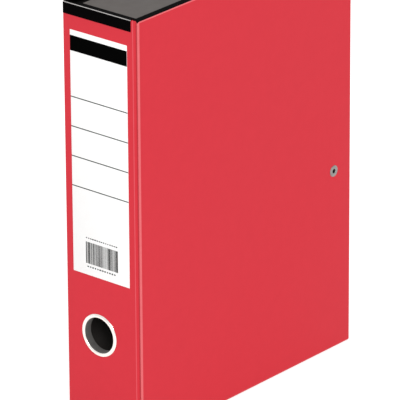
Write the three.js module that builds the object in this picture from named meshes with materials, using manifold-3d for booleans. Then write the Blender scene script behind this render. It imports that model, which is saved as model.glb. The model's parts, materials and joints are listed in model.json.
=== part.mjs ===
// A foolscap box file standing on its tail end: a hinged case of covered board round a black
// paper tray, with a finger ring in the spine, a press-button catch and a wire spring clip.
// Millimetres, +Z up. The spine faces -Y, the lid faces +X, the back cover faces -X and the
// fore edge faces +Y. The origin is under the middle of the whole file.

import * as THREE from 'three';
import { mergeVertices } from 'three/addons/utils/BufferGeometryUtils.js';
import Module from 'manifold-3d';

const wasm = await Module();
wasm.setup();

// Case
const fileWidth = 80;
const fileDepth = 270;
const fileHeight = 366;
const boardThickness = 2.5;
const paperThickness = 0.4;
const cutGap = 0.3;

// Hinge between spine and lid
const hingeGap = 3.5;
const hingeStripWidth = 2.9;
const hingeStripDepth = 1.5;
const lidSetBack = 0.3;
const hingeLiningWidth = 16;

// Tray
const trayWall = 2.5;
const trayFloor = 2;
const trayEndInset = 3;
const trayForeInset = 4;
const indexMargin = 9;

// Binding strips over the head and tail ends
const bindingThickness = 0.5;
const bindingHeight = 10;
const bindingEndsBeforeLid = 7.7;

// Spine label
const labelWidth = 60.4;
const labelBelowHead = 22.5;
const labelAboveRing = 32.2;
const labelFromBack = 7.7;
const labelThickness = 0.3;

// Finger ring
const ringHeight = 83.2;
const ringFromBack = 34.6;
const ringInnerRadius = 15.2;
const ringTubeWall = 0.8;
const ringFlangeRadius = 18.6;
const ringFlangeThickness = 0.7;
const ringLipHeight = 1.3;
const ringClinchRadius = 18;
const washerRadius = 20.5;
const washerThickness = 0.8;

// Lid catch
const catchHeight = 162;
const eyeletFromFore = 22.3;
const eyeletHoleRadius = 1.8;
const eyeletTubeWall = 0.6;
const eyeletFlangeRadius = 5;
const eyeletFlangeThickness = 0.5;
const eyeletClinchRadius = 4;
const catchSheet = 1;
const catchWidth = 14;
const tongueReach = 11.5;
const tongueFromWall = 6.3;
const tongueWindowWidth = 7;
const tongueWindowLength = 4.6;
const tongueWindowFromEnd = 2;
const toothClearance = 0.35;

// Press-button lock on the fore wall
const buttonRadius = 4.5;
const buttonProud = 3.2;
const buttonTravel = 2;
const buttonStemRadius = 2;
const buttonBelowLid = 16;
const lockSheet = 1;
const lockWidth = 15;
const lockHeight = 22;
const lockDepth = 18;
const lockEar = 8;
const plateThickness = 1.2;
const escutcheonRadius = 7.5;
const escutcheonThickness = 0.6;
const escutcheonTubeWall = 0.4;
const lockSpringWire = 0.7;
const lockSpringTurns = 5;

// Rivets
const rivetShankRadius = 1.5;
const rivetHeadRadius = 3.2;
const rivetHeadHeight = 0.5;
const rivetClinchRadius = 2.6;

// Wire spring clip on the tray floor
const clipMiddle = 183;
const clipWidth = 104;
const clipFromSpine = 27;
const clipAxisAboveFloor = 6.5;
const clipLegLength = 60;
const clipWireRadius = 1.5;
const clipPinRadius = 1.5;
const clipPinHeadRadius = 2.8;
const clipPinHead = 1.2;
const clipEyeRadius = 3.4;
const clipEyeLength = 5;
const clipSheet = 1.2;
const clipBaseWidth = 30;
const clipEarWidth = 10;
const clipArmRest = 2;
const clipLiftWidth = 26;
const clipLiftHeight = 7;
const clipSpringWire = 1;
const clipSpringTurns = 4;
const clipRivetSpacing = 60;
const runningClearance = 0.3;

const roundSteps = 40;
const smallSteps = 20;

const xBack = -fileWidth / 2;
const xLid = fileWidth / 2;
const ySpine = -fileDepth / 2;
const yFore = fileDepth / 2;
const xBackInner = xBack + boardThickness;
const xLidInner = xLid - boardThickness;
const ySpineInner = ySpine + boardThickness;
const xSpineEdge = xLidInner - hingeGap;
const xLining = xLidInner - paperThickness;
const xRim = xLining - cutGap;
const yTrayFore = yFore - trayForeInset;
const yWallInner = yTrayFore - trayWall;
const xTrayFloor = xBackInner + trayFloor;
const xFloorLining = xTrayFloor + paperThickness;
const yTrayInner = ySpineInner + trayWall;
const ringX = xBack + ringFromBack;
const yTongue = yWallInner - tongueFromWall - catchSheet;
const yEyelet = yFore - eyeletFromFore;
const buttonX = xLidInner - buttonBelowLid;
const xClipAxis = xFloorLining + clipAxisAboveFloor;
const yClipAxis = ySpineInner + clipFromSpine;

const paint = (color, roughness, metalness = 0) =>
  new THREE.MeshStandardMaterial({ color, roughness, metalness });
const redPaper = paint('#dc3f4a', 0.45);
const blackCloth = paint('#1d1b1c', 0.6);
const blackPaper = paint('#2b2929', 0.75);
const whitePaper = paint('#f7f7f5', 0.8);
const nickel = paint('#d8d3ce', 0.25, 1);
const steel = paint('#b9b6b2', 0.35, 1);

function toSolid(geometry) {
  const flat = geometry.clone();
  flat.deleteAttribute('normal');
  flat.deleteAttribute('uv');
  const merged = mergeVertices(flat, 1e-4);
  return new wasm.Manifold(
    new wasm.Mesh({
      numProp: 3,
      vertProperties: new Float32Array(merged.attributes.position.array),
      triVerts: new Uint32Array(merged.index.array),
    }),
  );
}

function toGeometry(solid) {
  const mesh = solid.getMesh();
  const geometry = new THREE.BufferGeometry();
  geometry.setAttribute('position', new THREE.BufferAttribute(mesh.vertProperties, 3));
  geometry.setIndex(new THREE.BufferAttribute(mesh.triVerts, 1));
  geometry.computeVertexNormals();
  return geometry;
}

const boxFile = new THREE.Group();

function addPart(name, geometry, material) {
  const mesh = new THREE.Mesh(geometry, material);
  mesh.name = name;
  boxFile.add(mesh);
}

function block(low, high) {
  const size = high.map((value, axis) => value - low[axis]);
  const geometry = new THREE.BoxGeometry(...size);
  geometry.translate(...high.map((value, axis) => (value + low[axis]) / 2));
  return geometry;
}

const blockSolid = (low, high) => toSolid(block(low, high));

// A turned shape: the profile lists [radius, distance along the axis], starting and ending on
// the axis or closing on itself. The axis runs along 'x', 'y' or 'z' from the given point.
function turned(profile, axis, at, steps = roundSteps) {
  const geometry = new THREE.LatheGeometry(
    profile.map(([radius, along]) => new THREE.Vector2(radius, along)),
    steps,
  );
  if (axis === 'x') {
    geometry.rotateZ(-Math.PI / 2);
  }
  if (axis === 'z') {
    geometry.rotateX(Math.PI / 2);
  }
  geometry.translate(...at);
  return geometry;
}

const rod = (radius, from, to, axis, at, steps = smallSteps) =>
  turned([[0, from], [radius, from], [radius, to], [0, to]], axis, at, steps);

const rodSolid = (...values) => toSolid(rod(...values));

const pierced = (solid, cutters) => cutters.reduce((left, cutter) => left.subtract(cutter), solid);

function tube(innerRadius, outerRadius, from, to, axis, at, steps = smallSteps) {
  return turned(
    [
      [innerRadius, from],
      [outerRadius, from],
      [outerRadius, to],
      [innerRadius, to],
      [innerRadius, from],
    ],
    axis,
    at,
    steps,
  );
}

// A flanged tube set in a hole: a rolled flange at the start and a flat clinched one at the end
function flangedTube(sizes, axis, at, steps = roundSteps) {
  const { inner, outer, flange, flangeThickness, lip, grip, clinch, clinchThickness } = sizes;
  const roll = Math.min(lip, (flange - inner) / 2);
  return turned(
    [
      [inner, -lip + roll * 0.6],
      [inner + roll * 0.3, -lip + roll * 0.15],
      [inner + roll, -lip],
      [flange - roll, -flangeThickness],
      [flange, -flangeThickness * 0.4],
      [flange, 0],
      [outer, 0],
      [outer, grip],
      [clinch, grip],
      [clinch, grip + clinchThickness],
      [inner, grip + clinchThickness],
      [inner, -lip + roll * 0.6],
    ],
    axis,
    at,
    steps,
  );
}

function rivet(grip, axis, at) {
  return turned(
    [
      [0, -rivetHeadHeight],
      [rivetHeadRadius * 0.6, -rivetHeadHeight],
      [rivetHeadRadius, 0],
      [rivetShankRadius, 0],
      [rivetShankRadius, grip],
      [rivetClinchRadius, grip],
      [rivetClinchRadius * 0.8, grip + rivetHeadHeight],
      [0, grip + rivetHeadHeight],
    ],
    axis,
    at,
    smallSteps,
  );
}

// A coil of wire round an axis along 'y' or 'z', with a straight tail at each end
function coil({ radius, wire, turns, length, axis, tailStart, tailEnd }) {
  const stepsPerTurn = 14;
  const points = [];
  const place = (angle, along) => {
    const across = [radius * Math.cos(angle), radius * Math.sin(angle)];
    return axis === 'y'
      ? new THREE.Vector3(across[0], along, across[1])
      : new THREE.Vector3(across[0], across[1], along);
  };
  for (let step = 0; step <= turns * stepsPerTurn; step += 1) {
    points.push(place((2 * Math.PI * step) / stepsPerTurn, (length * step) / (turns * stepsPerTurn)));
  }
  if (tailStart) {
    points.unshift(tailStart);
  }
  if (tailEnd) {
    points.push(tailEnd);
  }
  const section = new THREE.Shape().absarc(0, 0, wire / 2, 0, 2 * Math.PI);
  return new THREE.ExtrudeGeometry(section, {
    curveSegments: 3,
    steps: points.length,
    extrudePath: new THREE.CatmullRomCurve3(points),
    bevelEnabled: false,
  });
}

// Back cover, with the clip's rivet holes
const clipRivetHeights = [-1, 1].map((side) => clipMiddle + (side * clipRivetSpacing) / 2);
const clipRivetY = yClipAxis;
const holeRadius = rivetShankRadius + cutGap;
const boardLow = paperThickness;
const boardHigh = fileHeight - paperThickness;
const clipHoles = (from, to) =>
  clipRivetHeights.map((z) => rodSolid(holeRadius, from, to, 'x', [0, clipRivetY, z]));

addPart(
  'back_board',
  toGeometry(
    pierced(
      blockSolid([xBack, ySpine, boardLow], [xBackInner, yFore, boardHigh]),
      clipHoles(xBack - 1, xBackInner + 1),
    ),
  ),
  redPaper,
);

// Spine, with the finger hole
const ringHole = rodSolid(
  ringInnerRadius + ringTubeWall + cutGap,
  ySpine - 1,
  yTrayInner + 1,
  'y',
  [ringX, 0, ringHeight],
  roundSteps,
);
addPart(
  'spine_board',
  toGeometry(
    blockSolid([xBackInner, ySpine, boardLow], [xSpineEdge, ySpineInner, boardHigh]).subtract(
      ringHole,
    ),
  ),
  redPaper,
);

// Covering paper that sinks into the groove between spine and lid
addPart(
  'hinge_strip',
  block(
    [xSpineEdge, ySpine + cutGap, boardLow],
    [xSpineEdge + hingeStripWidth, ySpine + cutGap + hingeStripDepth, boardHigh],
  ),
  redPaper,
);

// Lid, its hinge lining and its ruled index sheet
const yLidStart = ySpine + lidSetBack;
const eyeletTubeRadius = eyeletHoleRadius + eyeletTubeWall;
const eyeletHole = rodSolid(
  eyeletTubeRadius + cutGap,
  xLining - catchSheet - 1,
  xLid + 1,
  'x',
  [0, yEyelet, catchHeight],
);
addPart(
  'lid_board',
  toGeometry(blockSolid([xLidInner, yLidStart, 0], [xLid, yFore, fileHeight]).subtract(eyeletHole)),
  redPaper,
);
addPart(
  'hinge_lining',
  block(
    [xLining, yLidStart + 1, trayEndInset],
    [xLidInner, yLidStart + hingeLiningWidth, fileHeight - trayEndInset],
  ),
  blackCloth,
);
const yCatchStart = yEyelet - catchWidth / 2;
const yIndexEnd = yCatchStart - 2;
addPart(
  'index_sheet',
  block(
    [xLining, yLidStart + hingeLiningWidth + 1, indexMargin],
    [xLidInner, yIndexEnd, fileHeight - indexMargin],
  ),
  whitePaper,
);

// Tray: floor and four walls folded from one blank
const lockBottom = catchHeight - lockHeight / 2;
const lockTop = catchHeight + lockHeight / 2;
const lockRivetHeights = [lockBottom - lockEar / 2, lockTop + lockEar / 2];
const barrelHoleRadius = buttonRadius + runningClearance + escutcheonTubeWall + cutGap;
const barrelHole = (from, to) =>
  rodSolid(barrelHoleRadius, from, to, 'y', [buttonX, 0, catchHeight], roundSteps);
const lockHoles = (from, to) =>
  lockRivetHeights.map((z) => rodSolid(holeRadius, from, to, 'y', [buttonX, 0, z]));
const trayLow = trayEndInset;
const trayHigh = fileHeight - trayEndInset;
const traySolid = pierced(
  blockSolid([xBackInner, ySpineInner, trayLow], [xRim, yTrayFore, trayHigh]).subtract(
    blockSolid(
      [xTrayFloor, yTrayInner, trayLow + trayWall],
      [xRim + 1, yWallInner, trayHigh - trayWall],
    ),
  ),
  [
    ringHole,
    barrelHole(yWallInner - 1, yTrayFore + 1),
    ...lockHoles(yWallInner - 1, yTrayFore + 1),
    ...clipHoles(xBackInner - 1, xTrayFloor + 1),
  ],
);
addPart('tray', toGeometry(traySolid), blackPaper);
addPart(
  'tray_lining',
  toGeometry(
    pierced(
      blockSolid(
        [xTrayFloor, yTrayInner, trayLow + trayWall],
        [xFloorLining, yWallInner, trayHigh - trayWall],
      ),
      clipHoles(xTrayFloor - 1, xFloorLining + 1),
    ),
  ),
  blackPaper,
);

// Binding strip over each end: round the back and spine faces and over their cut edges
function binding(end) {
  const [faceLow, faceHigh] = end > 0 ? [fileHeight - bindingHeight, fileHeight] : [0, bindingHeight];
  const [boardsLow, boardsHigh] = end > 0 ? [faceLow - 1, boardHigh] : [boardLow, faceHigh + 1];
  const xStop = xLid - bindingEndsBeforeLid;
  return blockSolid(
    [xBack - bindingThickness, ySpine - bindingThickness, faceLow],
    [xStop, yFore, faceHigh],
  )
    .subtract(blockSolid([xBackInner, ySpineInner, faceLow - 1], [xStop + 1, yFore + 1, faceHigh + 1]))
    .subtract(blockSolid([xBack, ySpine, boardsLow], [xStop + 1, yFore + 1, boardsHigh]));
}
addPart('head_binding', toGeometry(binding(1)), blackCloth);
addPart('tail_binding', toGeometry(binding(-1)), blackCloth);

// Spine label
const labelTop = fileHeight - labelBelowHead;
const labelBottom = ringHeight + ringFlangeRadius + labelAboveRing;
addPart(
  'spine_label',
  block(
    [xBack + labelFromBack, ySpine - labelThickness, labelBottom],
    [xBack + labelFromBack + labelWidth, ySpine, labelTop],
  ),
  whitePaper,
);

// Finger ring, flanged outside and clinched over a washer inside the tray
const ringGrip = yTrayInner + washerThickness - ySpine;
addPart(
  'finger_ring',
  flangedTube(
    {
      inner: ringInnerRadius,
      outer: ringInnerRadius + ringTubeWall,
      flange: ringFlangeRadius,
      flangeThickness: ringFlangeThickness,
      lip: ringLipHeight,
      grip: ringGrip,
      clinch: ringClinchRadius,
      clinchThickness: ringFlangeThickness,
    },
    'y',
    [ringX, ySpine, ringHeight],
  ),
  nickel,
);
addPart(
  'finger_ring_washer',
  tube(
    ringInnerRadius + ringTubeWall + cutGap,
    washerRadius,
    yTrayInner,
    yTrayInner + washerThickness,
    'y',
    [ringX, 0, ringHeight],
    roundSteps,
  ),
  nickel,
);

// Lid catch: a bent plate held by a hollow eyelet, with a window near the end of its tongue
const xCatchOuter = xLidInner;
const xCatchInner = xCatchOuter - catchSheet;
const yTongueEnd = yTongue + catchSheet;
const xTongueTip = xCatchInner - tongueReach;
const catchLow = catchHeight - catchWidth / 2;
const catchHigh = catchHeight + catchWidth / 2;
const catchPlate = blockSolid(
  [xCatchInner, yCatchStart, catchLow],
  [xCatchOuter, yTongueEnd, catchHigh],
);
const tongue = blockSolid([xTongueTip, yTongue, catchLow], [xCatchOuter, yTongueEnd, catchHigh]);
const xWindowLow = xTongueTip + tongueWindowFromEnd;
const xWindowHigh = xWindowLow + tongueWindowLength;
const tongueWindow = blockSolid(
  [xWindowLow, yTongue - 1, catchHeight - tongueWindowWidth / 2],
  [xWindowHigh, yTongueEnd + 1, catchHeight + tongueWindowWidth / 2],
);
addPart(
  'lid_catch',
  toGeometry(catchPlate.add(tongue).subtract(tongueWindow).subtract(eyeletHole)),
  nickel,
);
addPart(
  'lid_eyelet',
  flangedTube(
    {
      inner: eyeletHoleRadius,
      outer: eyeletTubeRadius,
      flange: eyeletFlangeRadius,
      flangeThickness: eyeletFlangeThickness,
      lip: eyeletFlangeThickness,
      grip: boardThickness + catchSheet,
      clinch: eyeletClinchRadius,
      clinchThickness: eyeletFlangeThickness,
    },
    'x',
    [0, 0, 0],
    smallSteps,
  )
    .rotateZ(Math.PI)
    .translate(xLid, yEyelet, catchHeight),
  nickel,
);

// Lock case: a hat-shaped strap riveted inside the fore wall, open towards the lid
const xLockLow = buttonX - lockWidth / 2;
const xLockHigh = buttonX + lockWidth / 2;
const yLockFront = yWallInner - lockDepth;
const strap = (low, high) => blockSolid([xLockLow, ...low], [xLockHigh, ...high]);
const stemHole = rodSolid(
  buttonStemRadius + runningClearance,
  yLockFront - 1,
  yLockFront + lockSheet + 1,
  'y',
  [buttonX, 0, catchHeight],
);
const lockSolid = pierced(
  strap([yWallInner - lockSheet, lockBottom - lockEar], [yWallInner, lockBottom + lockSheet])
    .add(strap([yWallInner - lockSheet, lockTop - lockSheet], [yWallInner, lockTop + lockEar]))
    .add(strap([yLockFront, lockBottom], [yWallInner, lockBottom + lockSheet]))
    .add(strap([yLockFront, lockTop - lockSheet], [yWallInner, lockTop]))
    .add(strap([yLockFront, lockBottom], [yLockFront + lockSheet, lockTop])),
  [stemHole, ...lockHoles(yWallInner - lockSheet - 1, yWallInner + 1)],
);
addPart('lock_case', toGeometry(lockSolid), steel);

lockRivetHeights.forEach((z, index) => {
  addPart(
    `lock_rivet_${index + 1}`,
    rivet(trayWall + lockSheet, 'y', [0, 0, 0]).rotateX(Math.PI).translate(buttonX, yTrayFore, z),
    nickel,
  );
});

// Escutcheon clinched through the fore wall, in which the button slides
addPart(
  'lock_escutcheon',
  flangedTube(
    {
      inner: buttonRadius + runningClearance,
      outer: buttonRadius + runningClearance + escutcheonTubeWall,
      flange: escutcheonRadius,
      flangeThickness: escutcheonThickness,
      lip: escutcheonThickness,
      grip: trayWall,
      clinch: escutcheonRadius - 1,
      clinchThickness: escutcheonThickness,
    },
    'y',
    [0, 0, 0],
  )
    .rotateX(Math.PI)
    .translate(buttonX, yTrayFore, catchHeight),
  nickel,
);

// Button, stem and latch plate turned and riveted up as one; the tooth faces the tongue's window
const yButtonFace = yTrayFore + buttonProud;
const yButtonBack = yTongueEnd + buttonTravel + 1;
const yPlateHigh = yTongue - toothClearance - 1.4;
const yPlateLow = yPlateHigh - plateThickness;
const ySpringEnd = yPlateLow - cutGap;
const ySpringStart = yLockFront + lockSheet + cutGap;
const buttonAt = [buttonX, 0, catchHeight];
const buttonSolid = toSolid(
  turned(
    [
      [0, yButtonBack],
      [buttonRadius, yButtonBack],
      [buttonRadius, yButtonFace - 1],
      [buttonRadius - 0.4, yButtonFace - 0.4],
      [buttonRadius - 1.2, yButtonFace - 0.1],
      [0, yButtonFace],
    ],
    'y',
    buttonAt,
    roundSteps,
  ),
);
const plateHalfWidth = tongueWindowWidth / 2 - 0.8;
const toothLow = xWindowLow + 0.8;
const toothHigh = xWindowHigh - 0.8;
const latchPlate = blockSolid(
  [buttonX - buttonStemRadius - 1.5, yPlateLow, catchHeight - plateHalfWidth],
  [toothHigh, yPlateHigh, catchHeight + plateHalfWidth],
);
const latchTooth = blockSolid(
  [toothLow, yPlateLow, catchHeight - plateHalfWidth],
  [toothHigh, yTongue - toothClearance, catchHeight + plateHalfWidth],
);
const stem = rodSolid(
  buttonStemRadius,
  yLockFront - buttonTravel + 0.5,
  yButtonBack + 1,
  'y',
  buttonAt,
);
addPart(
  'lock_button',
  toGeometry(buttonSolid.add(stem).add(latchPlate).add(latchTooth)),
  nickel,
);
addPart(
  'lock_spring',
  coil({
    radius: buttonStemRadius + runningClearance + lockSpringWire / 2,
    wire: lockSpringWire,
    turns: lockSpringTurns,
    length: ySpringEnd - ySpringStart - lockSpringWire,
    axis: 'y',
  }).translate(buttonX, ySpringStart + lockSpringWire / 2, catchHeight),
  steel,
);

// Clip base: a plate with two ears, riveted through the tray floor and the back cover
const clipLow = clipMiddle - clipWidth / 2;
const clipHigh = clipMiddle + clipWidth / 2;
const yBaseLow = yClipAxis - clipBaseWidth / 2;
const yBaseHigh = yClipAxis + clipBaseWidth / 2;
const xBaseTop = xFloorLining + clipSheet;
const pinHole = rodSolid(
  clipPinRadius + cutGap,
  clipLow - 5,
  clipHigh + 5,
  'z',
  [xClipAxis, yClipAxis, 0],
);
const ear = (low) =>
  blockSolid(
    [xFloorLining, yClipAxis - clipEarWidth / 2, low],
    [xClipAxis, yClipAxis + clipEarWidth / 2, low + clipSheet],
  ).add(
    rodSolid(clipEarWidth / 2, low, low + clipSheet, 'z', [xClipAxis, yClipAxis, 0]),
  );
const clipBaseSolid = pierced(
  blockSolid([xFloorLining, yBaseLow, clipLow], [xBaseTop, yBaseHigh, clipHigh])
    .add(ear(clipLow))
    .add(ear(clipHigh - clipSheet)),
  [pinHole, ...clipHoles(xFloorLining - 1, xBaseTop + 1)],
);
addPart('clip_base', toGeometry(clipBaseSolid), nickel);

clipRivetHeights.forEach((z, index) => {
  const grip = xBaseTop - xBack;
  addPart(`clip_rivet_${index + 1}`, rivet(grip, 'x', [xBack, clipRivetY, z]), nickel);
});

addPart(
  'clip_pin',
  turned(
    [
      [0, clipLow - clipPinHead],
      [clipPinHeadRadius, clipLow - clipPinHead],
      [clipPinHeadRadius, clipLow - 0.05],
      [clipPinRadius, clipLow - 0.05],
      [clipPinRadius, clipHigh + 0.05],
      [clipPinHeadRadius, clipHigh + 0.05],
      [clipPinHeadRadius, clipHigh + clipPinHead],
      [0, clipHigh + clipPinHead],
    ],
    'z',
    [xClipAxis, yClipAxis, 0],
    smallSteps,
  ),
  steel,
);

// Wire arm: an eye round the pin at each end, two legs that drop to the floor and a cross bar
// whose middle rises as a finger lift
const eyeInset = clipSheet + runningClearance;
const eyeLows = [clipLow + eyeInset, clipHigh - eyeInset - clipEyeLength];
const legHeights = eyeLows.map((low) => low + clipEyeLength / 2);
const xArm = xFloorLining + clipWireRadius + clipArmRest;
const yArmTip = yClipAxis + clipLegLength;
const yLegStart = yClipAxis + (clipEyeRadius + clipPinRadius) / 2 + 0.4;
const liftLow = clipMiddle - clipLiftWidth / 2;
const liftHigh = clipMiddle + clipLiftWidth / 2;
const bend = 5;
const armPoints = [
  [xClipAxis, yLegStart, legHeights[0]],
  [xClipAxis - 0.6, yLegStart + 5, legHeights[0]],
  [xArm + 0.4, yLegStart + 16, legHeights[0]],
  [xArm, yLegStart + 24, legHeights[0]],
  [xArm, yArmTip - bend - 2, legHeights[0]],
  [xArm, yArmTip - bend, legHeights[0] + 0.3],
  [xArm, yArmTip - bend * 0.3, legHeights[0] + bend * 0.3],
  [xArm, yArmTip, legHeights[0] + bend],
  [xArm, yArmTip, legHeights[0] + bend + 2],
  [xArm, yArmTip, liftLow - 4],
  [xArm + 1, yArmTip, liftLow - 1],
  [xArm + clipLiftHeight - 1, yArmTip, liftLow + 3],
  [xArm + clipLiftHeight, yArmTip, liftLow + 6],
  [xArm + clipLiftHeight, yArmTip, clipMiddle],
];
const mirrored = armPoints
  .slice(0, -1)
  .reverse()
  .map(([x, y, z]) => [x, y, 2 * clipMiddle - z]);
const armPath = new THREE.CatmullRomCurve3(
  [...armPoints, ...mirrored].map((point) => new THREE.Vector3(...point)),
  false,
  'centripetal',
);
const wireSection = new THREE.Shape().absarc(0, 0, clipWireRadius, 0, 2 * Math.PI);
const armWire = toSolid(
  new THREE.ExtrudeGeometry(wireSection, {
    curveSegments: 5,
    steps: 64,
    extrudePath: armPath,
    bevelEnabled: false,
  }),
);
const eyes = eyeLows.map((low) =>
  toSolid(
    tube(clipPinRadius + runningClearance, clipEyeRadius, low, low + clipEyeLength, 'z', [
      xClipAxis,
      yClipAxis,
      0,
    ]),
  ),
);
const armBore = rodSolid(
  clipPinRadius + runningClearance,
  clipLow,
  clipHigh,
  'z',
  [xClipAxis, yClipAxis, 0],
);
addPart('clip_arm', toGeometry(armWire.add(eyes[0]).add(eyes[1]).subtract(armBore)), nickel);

// Torsion spring beside each eye, its tails lying on the base plate and under the leg
const springRadius = clipPinRadius + runningClearance + clipSpringWire / 2;
const springLength = clipSpringTurns * (clipSpringWire + 0.25);
const springStart = clipEyeLength + eyeInset + 0.8;
[clipLow + springStart, clipHigh - springStart - springLength].forEach((low, index) => {
  addPart(
    `clip_spring_${index + 1}`,
    coil({
      radius: springRadius,
      wire: clipSpringWire,
      turns: clipSpringTurns,
      length: springLength,
      axis: 'z',
      tailEnd: new THREE.Vector3(springRadius, 9, springLength),
    }).translate(xClipAxis, yClipAxis, low),
    steel,
  );
});

export default boxFile;
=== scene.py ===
import json
import math

import bpy
import bmesh
from mathutils import Matrix, Vector


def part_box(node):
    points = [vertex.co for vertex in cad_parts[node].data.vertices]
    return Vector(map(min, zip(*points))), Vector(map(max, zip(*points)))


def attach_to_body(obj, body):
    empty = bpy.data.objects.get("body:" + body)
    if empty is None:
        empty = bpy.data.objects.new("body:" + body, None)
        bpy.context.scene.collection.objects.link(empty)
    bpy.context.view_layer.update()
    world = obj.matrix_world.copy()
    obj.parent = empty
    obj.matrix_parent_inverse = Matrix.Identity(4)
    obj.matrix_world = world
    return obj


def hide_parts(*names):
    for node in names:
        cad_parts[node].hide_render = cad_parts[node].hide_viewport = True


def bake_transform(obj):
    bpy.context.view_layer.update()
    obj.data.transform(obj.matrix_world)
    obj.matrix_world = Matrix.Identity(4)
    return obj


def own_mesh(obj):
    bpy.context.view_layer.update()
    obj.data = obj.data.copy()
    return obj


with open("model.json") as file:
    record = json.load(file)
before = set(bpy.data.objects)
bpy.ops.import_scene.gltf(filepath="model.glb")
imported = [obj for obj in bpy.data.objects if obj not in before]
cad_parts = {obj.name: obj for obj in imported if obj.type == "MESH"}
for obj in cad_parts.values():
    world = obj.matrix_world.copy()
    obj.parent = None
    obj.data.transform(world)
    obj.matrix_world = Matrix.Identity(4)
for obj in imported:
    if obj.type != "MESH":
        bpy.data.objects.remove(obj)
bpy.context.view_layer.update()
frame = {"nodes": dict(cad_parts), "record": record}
mm = 0.001
scene = bpy.context.scene
print("frame loaded")


# Colours and materials

def toLinear(hexColour):
    channels = [int(hexColour[i:i + 2], 16) / 255 for i in (1, 3, 5)]
    return [c / 12.92 if c <= 0.04045 else ((c + 0.055) / 1.055) ** 2.4 for c in channels] + [1.0]


def addNode(tree, kind, inputs=None, links=None, **settings):
    # Adds a node, sets its options and input values, and links other sockets into it
    node = tree.nodes.new(kind)
    for name, value in settings.items():
        setattr(node, name, value)
    for key, value in (inputs or {}).items():
        node.inputs[key].default_value = value
    for key, source in (links or {}).items():
        tree.links.new(source, node.inputs[key])
    return node


def newMaterial(name):
    material = bpy.data.materials.new(name)
    material.use_nodes = True
    material.node_tree.nodes.clear()
    tree = material.node_tree
    place = addNode(tree, "ShaderNodeTexCoord").outputs["Object"]
    shader = addNode(tree, "ShaderNodeBsdfPrincipled")
    output = addNode(tree, "ShaderNodeOutputMaterial")
    tree.links.new(shader.outputs["BSDF"], output.inputs["Surface"])
    return material, tree, place, shader


def noiseOf(tree, place, size, detail=3.0, stretch=(1, 1, 1), roughness=0.55):
    # Noise whose blotches are about size metres across
    mapping = addNode(tree, "ShaderNodeMapping", {"Scale": stretch}, {"Vector": place})
    return addNode(
        tree,
        "ShaderNodeTexNoise",
        {"Scale": 1 / size, "Detail": detail, "Roughness": roughness},
        {"Vector": mapping.outputs["Vector"]},
    ).outputs["Fac"]


def spread(tree, value, low, high):
    # Takes the middle of a noise out to the given range
    return addNode(
        tree,
        "ShaderNodeMapRange",
        {"From Min": 0.3, "From Max": 0.7, "To Min": low, "To Max": high},
        {"Value": value},
    ).outputs["Result"]


def shadeBetween(tree, factor, dark, light):
    mix = addNode(tree, "ShaderNodeMix", links={"Factor": factor}, data_type="RGBA")
    mix.inputs["A"].default_value = toLinear(dark)
    mix.inputs["B"].default_value = toLinear(light)
    return mix.outputs["Result"]


def bumpFrom(tree, height, strength, distance):
    return addNode(
        tree,
        "ShaderNodeBump",
        {"Strength": strength, "Distance": distance},
        {"Height": height},
    ).outputs["Normal"]


# Darker and lighter colour, roughness, specular level, relief of the fibres
paperLooks = {
    # Varnished cover paper: even red with a faint fibre mottle and a soft shine
    "coverPaper": ("#D33843", "#D73A45", 0.45, 0.04, 0.14),
    # The same paper painted paler on the lid's rounded board edges: a painted highlight
    "coverPaperEdgeHighlight": ("#DF666B", "#E37075", 0.4, 0.1, 0.1),
    # The same paper painted paler over the spine board's edge in the hinge: a painted highlight
    "coverPaperRidgeHighlight": ("#D8505A", "#DC5B64", 0.4, 0.1, 0.1),
    # Dyed black paper of the tray's inside, painted lighter as dark grey: painted light for its shaded
    # inside; flat, with grey fibres
    "trayPaperLightened": ("#45413F", "#4E4A48", 0.72, 0.15, 0.2),
    # Calendered black paper on the tray's ends, painted grey: a painted sheen of the light on it
    "endPaperSheen": ("#544E4B", "#5E5956", 0.5, 0.15, 0.15),
    # Uncoated white label stock
    "labelPaper": ("#FCFCFB", "#FFFFFF", 0.7, 0.1, 0.05),
    # Cream index sheet, slightly warm and dull
    "indexPaper": ("#ECE8DE", "#F2EEE5", 0.8, 0.05, 0.08),
    # Printer's black and its grey rules
    "printBlack": ("#020202", "#030303", 0.6, 0.006, 0.05),
    "printGrey": ("#3E4444", "#4A5050", 0.6, 0.05, 0.05),
    # Black cloth painted grey along the rounded arris of the fold over the head and tail: a painted
    # highlight
    "clothFoldHighlight": ("#AAA7A5", "#BEBBB9", 0.5, 0.1, 0.1),
}
fibreLook = {
    "mottle": 9 * mm, "fibre": 1.3 * mm, "relief": 0.05 * mm, "stretch": (1, 1, 0.45),
    "roughnessSwing": 0.05,
}


def makePaper(name):
    dark, light, rough, specular, relief = paperLooks[name]
    material, tree, place, shader = newMaterial(name)
    s = fibreLook
    mottle = noiseOf(tree, place, s["mottle"], detail=4)
    # Real fibres are 0.1 mm wide: drawn over ten times coarser, to show at all
    fibre = noiseOf(tree, place, s["fibre"], detail=5, stretch=s["stretch"], roughness=0.7)
    both = addNode(tree, "ShaderNodeMath", {}, {0: mottle, 1: fibre}, operation="ADD").outputs[0]
    half = addNode(tree, "ShaderNodeMath", {1: 0.5}, {0: both}, operation="MULTIPLY").outputs[0]
    colour = shadeBetween(tree, spread(tree, half, 0, 1), dark, light)
    tree.links.new(colour, shader.inputs["Base Color"])
    swing = s["roughnessSwing"]
    tree.links.new(spread(tree, fibre, rough - swing, rough + swing), shader.inputs["Roughness"])
    shader.inputs["Specular IOR Level"].default_value = specular
    normal = bumpFrom(tree, fibre, relief, s["relief"])
    tree.links.new(normal, shader.inputs["Normal"])
    return material


clothLook = {
    "grain": 1.1 * mm, "relief": 0.12 * mm, "bump": 0.35, "dark": "#020202", "light": "#080708",
    "smoothest": 0.34, "roughest": 0.5, "specular": 0.004,
}


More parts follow.
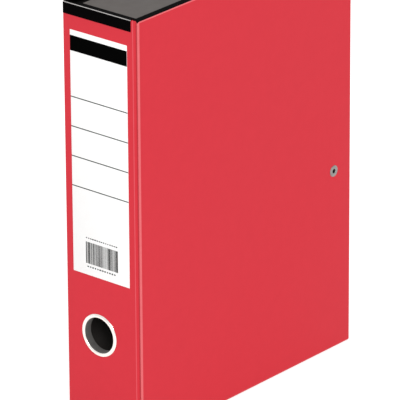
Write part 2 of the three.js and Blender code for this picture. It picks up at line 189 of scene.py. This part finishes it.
def makeCloth(name):
    # Embossed black bookcloth: pebbled grain, deep black with hardly any shine
    material, tree, place, shader = newMaterial(name)
    cells = addNode(
        tree,
        "ShaderNodeTexVoronoi",
        {"Scale": 1 / clothLook["grain"], "Randomness": 0.9},
        {"Vector": place},
        feature="SMOOTH_F1",
    ).outputs["Distance"]
    colour = shadeBetween(tree, cells, clothLook["light"], clothLook["dark"])
    tree.links.new(colour, shader.inputs["Base Color"])
    roughness = spread(tree, cells, clothLook["smoothest"], clothLook["roughest"])
    tree.links.new(roughness, shader.inputs["Roughness"])
    shader.inputs["Specular IOR Level"].default_value = clothLook["specular"]
    normal = bumpFrom(tree, cells, clothLook["bump"], clothLook["relief"])
    tree.links.new(normal, shader.inputs["Normal"])
    return material


# Darker and lighter colour, smallest and largest roughness, stretch of the haze
metalLooks = {
    # The lid's eyelet: thinner plating gone dull and grey
    "dullNickel": ("#7E7C7A", "#9A9896", 0.3, 0.45, (1, 1, 1)),
    # Barrel of the finger ring: nickel darkened to grey as painted shade inside the bore, and rough so
    # it shows no reflection
    "barrelShadeNickel": ("#7E7C7A", "#8B8987", 0.85, 0.98, (1, 1, 1)),
    # Bright nickel plate on steel: mirror-like with a warm tint and faint buffing haze
    "nickelPlate": ("#E9E4DE", "#F3EFEA", 0.13, 0.24, (1, 1, 1)),
    # Drawn spring wire and strip: greyer, with fine drawing lines along it
    "springSteel": ("#A8A5A1", "#BDBAB6", 0.26, 0.4, (1, 1, 0.08)),
}
hazeSize = 3.5 * mm
scratchLook = {"size": hazeSize / 4, "stretch": (1, 1, 0.2), "bump": 0.05, "relief": 0.05 * mm}


def makeMetal(name):
    dark, light, low, high, stretch = metalLooks[name]
    material, tree, place, shader = newMaterial(name)
    haze = noiseOf(tree, place, hazeSize, detail=5, stretch=stretch, roughness=0.6)
    colour = shadeBetween(tree, spread(tree, haze, 0, 1), dark, light)
    tree.links.new(colour, shader.inputs["Base Color"])
    tree.links.new(spread(tree, haze, low, high), shader.inputs["Roughness"])
    shader.inputs["Metallic"].default_value = 1
    s = scratchLook
    scratch = noiseOf(tree, place, s["size"], detail=2, stretch=s["stretch"])
    tree.links.new(bumpFrom(tree, scratch, s["bump"], s["relief"]), shader.inputs["Normal"])
    return material


materials = {name: makePaper(name) for name in paperLooks}
materials |= {name: makeMetal(name) for name in metalLooks}
materials["blackCloth"] = makeCloth("blackCloth")
print("materials made")


# Mesh helpers

weldDistance = 0.002 * mm
# Faces that meet at less than this are taken as one flat face
flatAngle = math.radians(1)
# Edges sharper than this are rounded
roundedAngle = math.radians(40)
# Longer than any board is thick
drillDepth = 20 * mm


def newObject(name, mesh, looks=()):
    piece = bpy.data.objects.new(name, mesh)
    scene.collection.objects.link(piece)
    for look in looks:
        mesh.materials.append(materials[look])
    return piece


def meshOf(bm, name):
    mesh = bpy.data.meshes.new(name)
    bm.to_mesh(mesh)
    bm.free()
    return mesh


def meshFrom(name, fill):
    # Makes a mesh with bmesh: fill draws into it
    bm = bmesh.new()
    fill(bm)
    bmesh.ops.remove_doubles(bm, verts=bm.verts, dist=weldDistance)
    bmesh.ops.recalc_face_normals(bm, faces=bm.faces)
    return meshOf(bm, name)


def finish(piece, smoothAngle=35):
    # Turns the piece and its modifiers into a plain mesh, smooth across shallow edges
    bpy.context.view_layer.update()
    evaluated = piece.evaluated_get(bpy.context.evaluated_depsgraph_get())
    made = bpy.data.meshes.new_from_object(evaluated)
    piece.modifiers.clear()
    piece.data = made
    made.polygons.foreach_set("use_smooth", [True] * len(made.polygons))
    made.set_sharp_from_angle(angle=math.radians(smoothAngle))
    return piece


def attach(piece, body, nodes=()):
    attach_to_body(piece, body)
    if nodes:
        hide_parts(*nodes)


def roundEdges(piece, radius, segments, look=0):
    bevel = piece.modifiers.new("rounded", "BEVEL")
    bevel.width = radius
    bevel.segments = segments
    bevel.limit_method = "ANGLE"
    bevel.angle_limit = roundedAngle
    bevel.material = look
    # Short edges round a hole would otherwise shrink the rounding of the whole piece
    bevel.use_clamp_overlap = False


def copyOfNode(node, name, looks, radius, segments=2):
    # A CAD node's own shape, with its sharp edges rounded as folding or tumbling leaves them
    bm = bmesh.new()
    bm.from_mesh(frame["nodes"][node].data)
    bmesh.ops.remove_doubles(bm, verts=bm.verts, dist=weldDistance)
    bmesh.ops.dissolve_limit(bm, angle_limit=flatAngle, verts=bm.verts, edges=bm.edges)
    piece = newObject(name, meshOf(bm, name), looks)
    roundEdges(piece, radius, segments)
    return finish(piece)


def boxInto(bm, low, high, look=0):
    corners = [
        bm.verts.new((x, y, z))
        for x in (low[0], high[0])
        for y in (low[1], high[1])
        for z in (low[2], high[2])
    ]
    sides = ((0, 1, 3, 2), (4, 6, 7, 5), (0, 4, 5, 1), (2, 3, 7, 6), (0, 2, 6, 4), (1, 5, 7, 3))
    for side in sides:
        bm.faces.new([corners[i] for i in side]).material_index = look


def loftInto(bm, rings, lookOf=lambda place: 0):
    # Skins rings of points one after another and closes both ends. lookOf gives the look at each
    # place round a ring.
    rows = [[bm.verts.new(point) for point in ring] for ring in rings]
    bm.faces.new(rows[0])
    bm.faces.new(rows[-1][::-1])
    for here, there in zip(rows, rows[1:]):
        for i in range(len(here)):
            j = (i + 1) % len(here)
            bm.faces.new((here[i], here[j], there[j], there[i])).material_index = lookOf(i)


def drilled(piece, radius, direction, at, steps=96):
    # Finishes the piece with a round hole through it. The edges are rounded before the hole is
    # cut, because the hole's short edges would hold the rounding down.
    def fill(bm):
        bmesh.ops.create_cone(
            bm, cap_ends=True, segments=steps, radius1=radius, radius2=radius, depth=drillDepth,
            matrix=axisTo(direction, at),
        )

    cutter = newObject("cutter", meshFrom("cutter", fill))
    cut = piece.modifiers.new("hole", "BOOLEAN")
    cut.object = cutter
    cut.solver = "EXACT"
    finish(piece)
    bpy.data.objects.remove(cutter)


def turnedPiece(name, profile, matrix, look, steps):
    # Spins a closed profile of (radius, along) about its own Z and places it by matrix
    def fill(bm):
        rings = []
        for step in range(steps):
            turn = 2 * math.pi * step / steps
            rings.append([
                bm.verts.new(matrix @ Vector((r * math.cos(turn), r * math.sin(turn), along)))
                for r, along in profile
            ])
        for here, there in zip(rings, rings[1:] + rings[:1]):
            for i in range(len(profile)):
                j = (i + 1) % len(profile)
                bm.faces.new((here[i], here[j], there[j], there[i]))
        bmesh.ops.dissolve_degenerate(bm, edges=bm.edges, dist=weldDistance / 2)

    return finish(newObject(name, meshFrom(name, fill), [look]), smoothAngle=50)


def arc(centre, radius, start, end, steps=6):
    # Points of an arc in (radius, along) or (x, y), angles in degrees
    return [
        (
            centre[0] + radius * math.cos(math.radians(start + (end - start) * i / steps)),
            centre[1] + radius * math.sin(math.radians(start + (end - start) * i / steps)),
        )
        for i in range(steps + 1)
    ]


def axisTo(direction, at):
    # Matrix that takes +Z to direction and puts its start at the given point
    turned = Vector(direction).to_track_quat("Z", "Y").to_matrix().to_4x4()
    return Matrix.Translation(Vector(at)) @ turned


def towards(azimuth, elevation):
    # Direction from the object at these angles in degrees, where azimuth 0 is in front of the spine
    az, el = math.radians(azimuth), math.radians(elevation)
    return Vector((math.sin(az) * math.cos(el), -math.cos(az) * math.cos(el), math.sin(el)))


# Places read from the frame

backLow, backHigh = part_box("back_board")
spineLow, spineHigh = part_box("spine_board")
lidLow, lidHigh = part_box("lid_board")
labelLow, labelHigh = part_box("spine_label")
ringLow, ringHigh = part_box("finger_ring")
eyeletLow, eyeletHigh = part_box("lid_eyelet")
trayLow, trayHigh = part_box("tray")
ringMiddle = (ringLow + ringHigh) / 2
eyeletMiddle = (eyeletLow + eyeletHigh) / 2


# Camera, from a fit to the photo's edges with the file's depth and width held

cameraSettings = {
    "azimuth": 40.37, "elevation": 22.37, "roll": -0.36, "distance": 4.152,
    "focalPixels": 5023, "imagePixels": 400, "aside": 8.8 * mm, "above": 20.3 * mm,
    "sensorWide": 36, "nearest": 0.1, "farthest": 100,
}


def placeCamera():
    s = cameraSettings
    az, roll = math.radians(s["azimuth"]), math.radians(s["roll"])
    back = towards(s["azimuth"], s["elevation"])
    level = Vector((math.cos(az), math.sin(az), 0))
    upright = back.cross(level)
    right = level * math.cos(roll) + upright * math.sin(roll)
    up = upright * math.cos(roll) - level * math.sin(roll)
    middle = Vector((0, 0, lidHigh.z / 2))
    eye = middle + back * s["distance"] - right * s["aside"] - up * s["above"]
    data = bpy.data.cameras.new("camera")
    data.sensor_width = s["sensorWide"]
    data.lens = s["focalPixels"] / s["imagePixels"] * data.sensor_width
    data.clip_start = s["nearest"]
    data.clip_end = s["farthest"]
    camera = bpy.data.objects.new("camera", data)
    scene.collection.objects.link(camera)
    camera.matrix_world = Matrix(
        [[right[i], up[i], back[i], eye[i]] for i in range(3)] + [[0, 0, 0, 1]]
    )
    scene.camera = camera


placeCamera()
print("camera placed")


# Case: back cover and spine wrapped in one sheet of red paper

caseLook = {"roundness": 1.1 * mm, "segments": 4, "holeGap": 0.2 * mm}


def makeCase():
    inner, outer = backHigh.x, backLow.x
    outline = [
        (outer, backHigh.y), (outer, backLow.y), (spineHigh.x, spineLow.y),
        (spineHigh.x, spineHigh.y), (inner, spineHigh.y), (inner, backHigh.y),
    ]
    ends = [[(x, y, z) for x, y in outline] for z in (backLow.z, backHigh.z)]
    shape = meshFrom("caseCover", lambda bm: loftInto(bm, ends))
    case = newObject("caseCover", shape, ["coverPaper"])
    roundEdges(case, caseLook["roundness"], caseLook["segments"])
    holeRadius = ringLook["bore"] + ringLook["wall"] + caseLook["holeGap"]
    drilled(case, holeRadius, (0, 1, 0), (ringMiddle.x, spineLow.y, ringMiddle.z))
    attach(case, "case", ("back_board", "spine_board"))


# Lid board: its rounded edges painted paler as a highlight, its head and tail ends lined in black

lidLook = {
    "roundness": 1.2 * mm, "segments": 5, "holeRadius": 2.7 * mm,
    # How far the red comes over the head and tail edges
    "redOver": 0.6 * mm,
}


def makeLid():
    shape = meshFrom("lidCover", lambda bm: boxInto(bm, lidLow, lidHigh))
    lid = newObject("lidCover", shape, ["coverPaper", "coverPaperEdgeHighlight", "blackCloth"])
    # The rounded edges take the paler paper: a painted highlight
    roundEdges(lid, lidLook["roundness"], lidLook["segments"], look=1)
    drilled(lid, lidLook["holeRadius"], (1, 0, 0), (lidHigh.x, eyeletMiddle.y, eyeletMiddle.z))
    for face in lid.data.polygons:
        fromEnd = min(face.center.z - lidLow.z, lidHigh.z - face.center.z)
        if fromEnd < lidLook["roundness"] and face.center.x < lidHigh.x - lidLook["redOver"]:
            face.material_index = 2
    attach(lid, "lid", ("lid_board",))


# Covering paper over the hinge: it sinks into the groove

hingeLook = {
    "thick": 0.25 * mm, "rows": 4, "bendInset": 0.2 * mm,
    # Stretch of the groove over the spine board's edge that is painted paler as a highlight
    "ridgeHighlightFace": 1,
}
groove = [
    # Millimetres: from the spine board's outer edge, 0 at its face
    (-1.0, -0.06), (-0.3, 0.02), (0.35, 0.35), (0.9, 0.9), (1.6, 1.2), (2.4, 1.15),
    (3.0, 0.75), (3.45, 0.4), (3.9, 0.22),
]


def makeHingePaper():
    s = hingeLook
    outer = [Vector((spineHigh.x + x * mm, spineLow.y + y * mm, 0)) for x, y in groove]
    inner = [p + Vector((0, s["thick"], 0)) for p in outer]
    tall = backHigh.z - backLow.z
    heights = [backLow.z + tall * i / s["rows"] for i in range(s["rows"] + 1)]
    rings = [[(p.x, p.y, z) for p in outer + inner[::-1]] for z in heights]
    # The face over the spine board's edge takes the paler paper: a painted highlight
    shape = meshFrom(
        "hingePaper", lambda bm: loftInto(bm, rings, lambda place: int(place == s["ridgeHighlightFace"]))
    )
    paper = newObject("hingePaper", shape, ["coverPaper", "coverPaperRidgeHighlight"])
    finish(paper, smoothAngle=60)
    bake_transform(paper)
    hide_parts("hinge_strip")


# Black cloth binding over the head and tail ends of the case

bindingLook = {
    "thick": 0.4 * mm, "roundness": 1.3 * mm, "roundSteps": 6, "corner": 2.2 * mm, "cornerSteps": 8,
    # How far the turned-in cloth stands off the boards' inner faces
    "offInside": 0.3 * mm,
    # Places in the section of the faces painted grey as a highlight on the arris
    "arrisHighlightFaces": (3, 4),
}


def makeBinding(name, node, end):
    low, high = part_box(node)
    s = bindingLook
    r, t, c = s["roundness"], s["thick"], s["corner"]
    tip = high.z if end > 0 else low.z
    # The cloth turns in over the boards and down to the tray's end
    turnIn = high.z - trayHigh.z if end > 0 else trayLow.z - low.z
    far = backHigh.x - low.x + s["offInside"]
    quarter = [math.pi / 2 * i / s["roundSteps"] for i in range(s["roundSteps"] + 1)]
    # Section: distance in from the outer face, and height below the tip
    skin = [(0, high.z - low.z)]
    skin += [(r - r * math.cos(a), r - r * math.sin(a)) for a in quarter]
    skin += [(far - r + r * math.sin(a), r - r * math.cos(a)) for a in quarter]
    skin += [(far, turnIn)]
    under = [(min(max(x, t), far - t), max(y, t)) for x, y in skin]
    section = skin + under[::-1]
    path = [(Vector((low.x, high.y, 0)), Vector((-1, 0, 0)), False)]
    for i in range(s["cornerSteps"] + 1):
        turn = math.pi / 2 * i / s["cornerSteps"]
        outward = Vector((-math.cos(turn), -math.sin(turn), 0))
        path.append((Vector((low.x + c, low.y + c, 0)) + outward * c, outward, True))
    path.append((Vector((high.x, low.y, 0)), Vector((0, -1, 0)), False))
    rings = []
    for at, outward, turning in path:
        ring = []
        for inward, below in section:
            p = at - outward * inward
            if turning and inward > c:
                # Past the corner's own radius the layers meet in a mitre
                p = Vector((low.x + inward, low.y + inward, 0))
            ring.append((p.x, p.y, tip - end * below))
        rings.append(ring)
    # The faces on the top arris take the grey cloth: a painted highlight
    shape = meshFrom(
        name, lambda bm: loftInto(bm, rings, lambda place: int(place in s["arrisHighlightFaces"]))
    )
    strip = finish(newObject(name, shape, ["blackCloth", "clothFoldHighlight"]), smoothAngle=40)
    attach(strip, "case", (node,))


# Spine label with plain rules, a bare title block and a generic row of bars

labelLook = {
    # Heights above the label's foot
    "blackLow": 191.6 * mm, "blackHigh": 204.8 * mm, "ruleHeights": (75.2, 100.9, 126.5, 152.1),
    "ruleWide": 0.9 * mm, "ink": 0.04 * mm, "inset": 0.1 * mm, "roundness": 0.12 * mm,
}


def makeLabel():
    s = labelLook
    label = copyOfNode("spine_label", "spineLabel", ["labelPaper"], s["roundness"])
    attach(label, "case", ("spine_label",))
    left, right = labelLow.x + s["inset"], labelHigh.x - s["inset"]
    front, foot = labelLow.y, labelLow.z

    def inkInto(bm, low, high, look):
        boxInto(bm, (left, front - s["ink"], low), (right, front + s["ink"], high), look)

    def fill(bm):
        inkInto(bm, foot + s["blackLow"], foot + s["blackHigh"], 0)
        for height in s["ruleHeights"]:
            z = foot + height * mm
            inkInto(bm, z - s["ruleWide"] / 2, z + s["ruleWide"] / 2, 1)

    block = newObject("labelPrint", meshFrom("labelPrint", fill), ["printBlack", "printGrey"])
    finish(block)
    attach(block, "case")


# Rows of printed marks: generic bars and dashes on the label, ruled lines on the index sheet

indexLow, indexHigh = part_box("index_sheet")
inkDeep = 2 * labelLook["ink"] / mm
indexTall = (indexHigh.z - indexLow.z) / mm
indexWide = (indexHigh.y - indexLow.y) / mm
rowLooks = {
    # Millimetres: first mark's middle, step to the next, smallest and largest mark
    "labelBars": {
        "corner": labelLow, "first": (14.2, 0, 19.65), "step": (1.15, 0, 0), "count": 30,
        "small": (0.4, inkDeep, 18.9), "large": (1.05, inkDeep, 18.9), "ink": "printBlack", "seed": 4,
    },
    "labelDashesHigh": {
        "corner": labelLow, "first": (14.6, 0, 32.5), "step": (2.3, 0, 0), "count": 15,
        "small": (0.9, inkDeep, 0.8), "large": (1.8, inkDeep, 1.1), "ink": "printGrey", "seed": 7,
    },
    "labelDashesMiddle": {
        "corner": labelLow, "first": (16, 0, 7.5), "step": (2.6, 0, 0), "count": 12,
        "small": (1.0, inkDeep, 1.0), "large": (1.9, inkDeep, 1.3), "ink": "printGrey", "seed": 2,
    },
    "indexRules": {
        "corner": indexLow, "first": (0, indexWide / 2, 12), "step": (0, 0, 8), "count": 41,
        "small": (inkDeep, indexWide - 8, 0.25), "large": (inkDeep, indexWide - 8, 0.25),
        "ink": "printGrey", "seed": 0,
    },
    "indexColumns": {
        "corner": indexLow, "first": (0, 30, indexTall / 2), "step": (0, 80, 0), "count": 3,
        "small": (inkDeep, 0.4, indexTall - 16), "large": (inkDeep, 0.4, indexTall - 16),
        "ink": "printGrey", "seed": 0,
    },
}


def rowTree():
    tree = bpy.data.node_groups.new("row of marks", "GeometryNodeTree")
    sockets = (
        ("First", "Vector"), ("Step", "Vector"), ("Count", "Int"), ("Small", "Vector"),
        ("Large", "Vector"), ("Seed", "Int"), ("Ink", "Material"),
    )
    for label, kind in sockets:
        tree.interface.new_socket(name=label, in_out="INPUT", socket_type="NodeSocket" + kind)
    tree.interface.new_socket(name="Geometry", in_out="OUTPUT", socket_type="NodeSocketGeometry")
    given = addNode(tree, "NodeGroupInput").outputs
    line = addNode(
        tree, "GeometryNodeMeshLine", {},
        {"Count": given["Count"], "Start Location": given["First"], "Offset": given["Step"]},
    )
    size = addNode(tree, "FunctionNodeRandomValue", data_type="FLOAT_VECTOR")
    tree.links.new(given["Small"], size.inputs[0])
    tree.links.new(given["Large"], size.inputs[1])
    tree.links.new(given["Seed"], size.inputs["Seed"])
    mark = addNode(tree, "GeometryNodeMeshCube", {"Size": (1, 1, 1)})
    placed = addNode(
        tree, "GeometryNodeInstanceOnPoints", {},
        {"Points": line.outputs["Mesh"], "Instance": mark.outputs["Mesh"], "Scale": size.outputs[0]},
    )
    real = addNode(tree, "GeometryNodeRealizeInstances", {}, {"Geometry": placed.outputs["Instances"]})
    inked = addNode(
        tree, "GeometryNodeSetMaterial", {},
        {"Geometry": real.outputs["Geometry"], "Material": given["Ink"]},
    )
    addNode(tree, "NodeGroupOutput", {}, {"Geometry": inked.outputs["Geometry"]})
    return tree


def makeRow(name, tree, body):
    look = rowLooks[name]
    values = {
        "First": Vector(look["first"]) * mm + look["corner"], "Step": Vector(look["step"]) * mm,
        "Count": look["count"], "Seed": look["seed"], "Ink": materials[look["ink"]],
        "Small": Vector(look["small"]) * mm, "Large": Vector(look["large"]) * mm,
    }
    row = newObject(name, bpy.data.meshes.new(name))
    grown = row.modifiers.new("grown", "NODES")
    grown.node_group = tree
    for socket in tree.interface.items_tree:
        if socket.in_out == "INPUT":
            grown[socket.identifier] = values[socket.name]
    attach(finish(row), body)


def makeRows():
    tree = rowTree()
    for name in rowLooks:
        if name.startswith("label"):
            makeRow(name, tree, "case")
        else:
            makeRow(name, tree, "lid")


# Finger ring and eyelet: turned, with rolled flanges

ringLook = {
    "bore": 15.2 * mm, "wall": 0.8 * mm, "edge": 0.35 * mm,
    "clinch": 18 * mm, "clinchThick": 0.7 * mm, "steps": 128,
    # How far out from the bore the barrel's painted shade reaches
    "barrelEdge": 0.1 * mm,
}
eyeletLook = {
    "bore": 1.8 * mm, "wall": 0.6 * mm, "edge": 0.3 * mm,
    "clinch": 4 * mm, "clinchThick": 0.5 * mm, "steps": 64,
}
# Heights of a flange's slope and rim, as shares of its lip's height
slopeHeight = 0.62
rimHeight = 0.3


def rolledProfile(look, flange, lip, depth):
    # From the bore's mouth over the rolled lip to the flange's edge, then along the tube to its
    # clinched end
    bore, clinch = look["bore"], look["clinch"]
    tube, back = bore + look["wall"], depth + look["clinchThick"]
    front = [(r, -along) for r, along in arc((bore + lip, 0), lip, 180, 90, 8)]
    slope = [(flange - look["edge"], -lip * slopeHeight)]
    rim = [(flange, -lip * rimHeight), (flange, 0)]
    tail = [(tube, 0), (tube, depth), (clinch, depth), (clinch, back), (bore, back)]
    return front + slope + rim + tail


def makeRing():
    s = ringLook
    flange = (ringHigh.x - ringLow.x) / 2
    proud = spineLow.y - ringLow.y
    depth = ringHigh.y - spineLow.y - s["clinchThick"]
    place = axisTo((0, 1, 0), (ringMiddle.x, spineLow.y, ringMiddle.z))
    profile = rolledProfile(s, flange, proud, depth)
    ring = turnedPiece("fingerRing", profile, place, "nickelPlate", s["steps"])
    # The barrel inside the lip takes the darker nickel: painted shade in the bore
    ring.data.materials.append(materials["barrelShadeNickel"])
    for face in ring.data.polygons:
        fromAxis = math.hypot(face.center.x - ringMiddle.x, face.center.z - ringMiddle.z)
        if fromAxis < s["bore"] + s["barrelEdge"]:
            face.material_index = 1
    attach(ring, "case", ("finger_ring",))


def makeEyelet():
    s = eyeletLook
    flange = (eyeletHigh.z - eyeletLow.z) / 2
    proud = eyeletHigh.x - lidHigh.x
    depth = lidHigh.x - eyeletLow.x - s["clinchThick"]
    place = axisTo((-1, 0, 0), (lidHigh.x, eyeletMiddle.y, eyeletMiddle.z))
    profile = rolledProfile(s, flange, proud, depth)
    eyelet = turnedPiece("lidEyelet", profile, place, "dullNickel", s["steps"])
    attach(eyelet, "lid", ("lid_eyelet",))


# Tray of folded board in black paper; its two ends have a grey plane with a painted sheen, inside a
# black border of painted shade along the rim

trayLook = {
    "roundness": 0.2 * mm, "segments": 3, "liningRoundness": 0.1 * mm,
    # The black border, painted shade along the rim, is partly hidden behind the boards; endSkin is how
    # deep an end's faces lie
    "border": 9 * mm, "endSkin": 0.5 * mm,
}


def onTrayEnd(z):
    return min(z - trayLow.z, trayHigh.z - z) < trayLook["endSkin"]


def makeTray():
    s = trayLook
    looks = ["trayPaperLightened", "endPaperSheen", "blackCloth"]
    tray = copyOfNode("tray", "tray", looks, s["roundness"], s["segments"])
    inside = Vector((1, 1, 0)) * s["border"]
    borderLow, borderHigh = trayLow + inside, trayHigh - inside
    bm = bmesh.new()
    bm.from_mesh(tray.data)
    for at in (borderLow, borderHigh):
        for direction in ((1, 0, 0), (0, 1, 0)):
            ends = [face for face in bm.faces if onTrayEnd(face.calc_center_median().z)]
            edges = {edge for face in ends for edge in face.edges}
            points = {vert for face in ends for vert in face.verts}
            bmesh.ops.bisect_plane(
                bm, geom=[*points, *edges, *ends], dist=0, plane_co=at, plane_no=direction
            )
    # Faces inside the border take the grey paper with its painted sheen; the border round them takes
    # black cloth as painted shade
    for face in bm.faces:
        middle = face.calc_center_median()
        if onTrayEnd(middle.z):
            within = all(borderLow[i] < middle[i] < borderHigh[i] for i in (0, 1))
            face.material_index = 1 if within else 2
    bm.to_mesh(tray.data)
    bm.free()
    attach(tray, "case", ("tray",))
    lining = copyOfNode("tray_lining", "trayLining", ["trayPaperLightened"], s["liningRoundness"], segments=1)
    attach(lining, "case", ("tray_lining",))


makeCase()
makeLid()
makeHingePaper()
makeBinding("headBinding", "head_binding", 1)
makeBinding("tailBinding", "tail_binding", -1)
makeLabel()
makeRows()
makeRing()
makeEyelet()
makeTray()
print("case, lid and binding made")


# Smaller hardware keeps its CAD shape, with broken edges

hardware = {
    # Each node's piece, look, slot and rounding in millimetres
    "finger_ring_washer": ("ringWasher", "nickelPlate", "nickel_plate", 0.15),
    "lid_catch": ("lidCatch", "nickelPlate", "nickel_plate", 0.25),
    "lock_case": ("lockCase", "springSteel", "spring_steel", 0.25),
    "lock_escutcheon": ("lockEscutcheon", "nickelPlate", "nickel_plate", 0.1),
    "lock_button": ("lockButton", "nickelPlate", "nickel_plate", 0.1),
    "lock_rivet_1": ("lockRivet1", "nickelPlate", "nickel_plate", 0.12),
    "lock_rivet_2": ("lockRivet2", "nickelPlate", "nickel_plate", 0.12),
    "lock_spring": ("lockSpring", "springSteel", "spring_steel", 0.02),
    "clip_base": ("clipBase", "springSteel", "nickel_plate", 0.1),
    "clip_rivet_1": ("clipRivet1", "nickelPlate", "nickel_plate", 0.12),
    "clip_rivet_2": ("clipRivet2", "nickelPlate", "nickel_plate", 0.12),
    "clip_pin": ("clipPin", "springSteel", "spring_steel", 0.2),
    "clip_spring_1": ("clipSpring1", "springSteel", "spring_steel", 0.02),
    "clip_spring_2": ("clipSpring2", "springSteel", "spring_steel", 0.02),
    "clip_arm": ("clipArm", "nickelPlate", "nickel_plate", 0.02),
    "hinge_lining": ("hingeLining", "blackCloth", "binding_cloth", 0.1),
    "index_sheet": ("indexSheet", "indexPaper", "index_paper", 0.1),
}
bodies = frame["record"]["behaviour"]["bodies"]
bodyOf = {node: body for body, nodes in bodies.items() for node in nodes}


def shortenWithButton(spring):
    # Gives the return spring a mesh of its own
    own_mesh(spring)


def makeHardware():
    for node, (name, look, slotName, radius) in hardware.items():
        piece = copyOfNode(node, name, [look], radius * mm)
        attach(piece, bodyOf[node], (node,))
        if node == "lock_spring":
            shortenWithButton(piece)


makeHardware()
print("hardware made")


# Floor, world and lamps

stageLook = {
    "floorHalf": 12, "floorDrop": 0.2 * mm, "floor": "#F4F4F3", "floorRough": 0.9, "glow": 0.45,
    "ambient": 0.74, "sun": 1.35, "sunAzimuth": 45, "sunElevation": 35, "sunAngle": 25,
}


def largerOf(tree, first, second):
    return addNode(
        tree, "ShaderNodeMath", {}, {0: first, 1: second}, operation="MAXIMUM"
    ).outputs[0]


def makeFloor():
    s = stageLook
    half = s["floorHalf"]
    corners = ((-half, -half), (half, -half), (half, half), (-half, half))

    def fill(bm):
        bm.faces.new([bm.verts.new((x, y, -s["floorDrop"])) for x, y in corners])

    floor = newObject("floor", meshFrom("floor", fill))
    material, tree, _, shader = newMaterial("matte white floor")
    shader.inputs["Base Color"].default_value = toLinear(s["floor"])
    shader.inputs["Roughness"].default_value = s["floorRough"]
    shader.inputs["Specular IOR Level"].default_value = 0
    # Seen directly, in gloss or through glass it glows, so that it shows as white as the world
    rays = addNode(tree, "ShaderNodeLightPath").outputs
    seen = largerOf(tree, rays["Is Camera Ray"], rays["Is Glossy Ray"])
    seen = largerOf(tree, seen, rays["Is Transmission Ray"])
    glow = addNode(tree, "ShaderNodeMath", {1: s["glow"]}, {0: seen}, operation="MULTIPLY")
    shader.inputs["Emission Color"].default_value = (1, 1, 1, 1)
    tree.links.new(glow.outputs[0], shader.inputs["Emission Strength"])
    floor.data.materials.append(material)


def makeWorld():
    world = bpy.data.worlds.new("studio")
    scene.world = world
    world.use_nodes = True
    tree = world.node_tree
    tree.nodes.clear()
    rays = addNode(tree, "ShaderNodeLightPath").outputs
    seen = largerOf(tree, rays["Is Camera Ray"], rays["Is Glossy Ray"])
    strength = addNode(
        tree, "ShaderNodeMapRange", {"To Min": stageLook["ambient"], "To Max": 1.0}, {"Value": seen}
    ).outputs["Result"]
    background = addNode(
        tree, "ShaderNodeBackground", {"Color": (1, 1, 1, 1)}, {"Strength": strength}
    ).outputs["Background"]
    addNode(tree, "ShaderNodeOutputWorld", links={"Surface": background})


def makeSun():
    s = stageLook
    sun = bpy.data.lights.new("softbox", "SUN")
    sun.energy = s["sun"]
    sun.angle = math.radians(s["sunAngle"])
    lamp = bpy.data.objects.new("softbox", sun)
    scene.collection.objects.link(lamp)
    direction = towards(s["sunAzimuth"], s["sunElevation"])
    lamp.rotation_euler = direction.to_track_quat("Z", "Y").to_euler()


makeFloor()
makeWorld()
makeSun()
scene.view_settings.view_transform = "Standard"
print("stage made")
